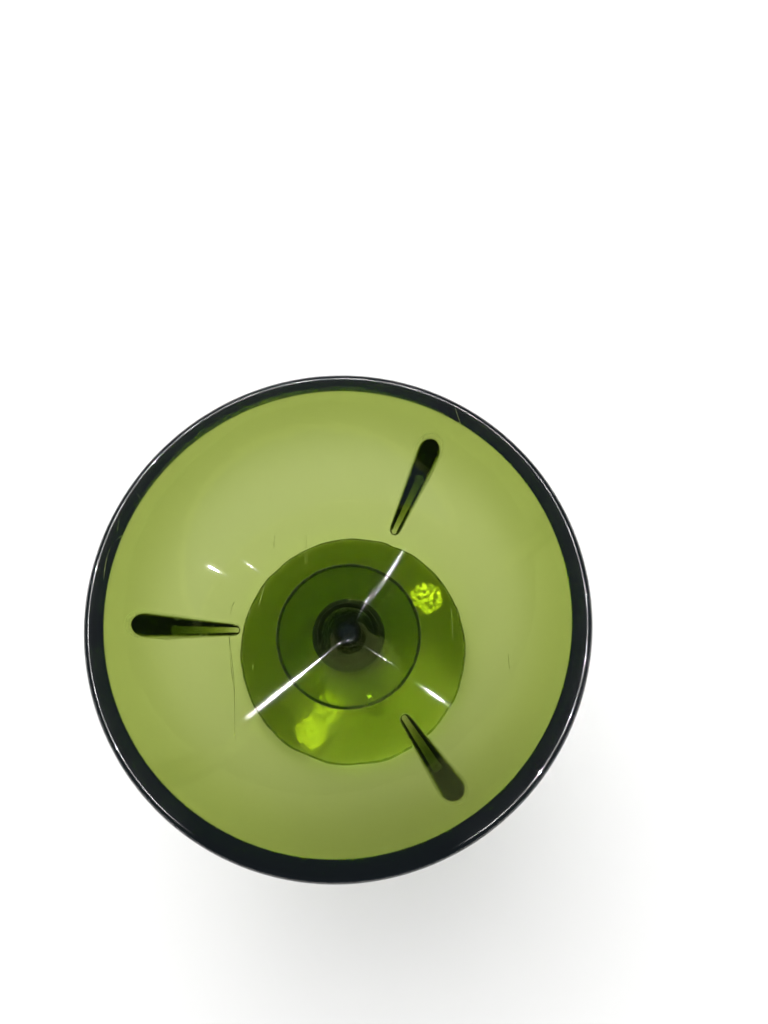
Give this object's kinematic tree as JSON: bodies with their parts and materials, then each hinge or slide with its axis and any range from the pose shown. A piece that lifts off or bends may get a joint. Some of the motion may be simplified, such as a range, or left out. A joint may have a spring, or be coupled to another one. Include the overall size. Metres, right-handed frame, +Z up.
{
  "type": "martini glass",
  "caption": "Short-stemmed martini glass in olive-green glass: flared cone bowl with fins under it, disc collar, waisted stem and round foot.",
  "frame": {"origin": "centre of the foot's resting plane", "axes": "+Z up along the glass's axis, from the foot to the lip; +X is opposite the first fin"},
  "size_m": [0.114, 0.114, 0.101],
  "materials": {
    "bowl_glass": "fire-polished olive-green glass, clear",
    "fin_glass": "pressed olive-green glass, thick and dark",
    "stem_glass": "pressed olive-green glass, polished"
  },
  "bodies": {
    "root": {"foot": "stem_glass", "stem": "stem_glass", "collar": "stem_glass", "bowl": "bowl_glass", "fin_1": "fin_glass", "fin_2": "fin_glass", "fin_3": "fin_glass"}
  },
  "joints": []
}
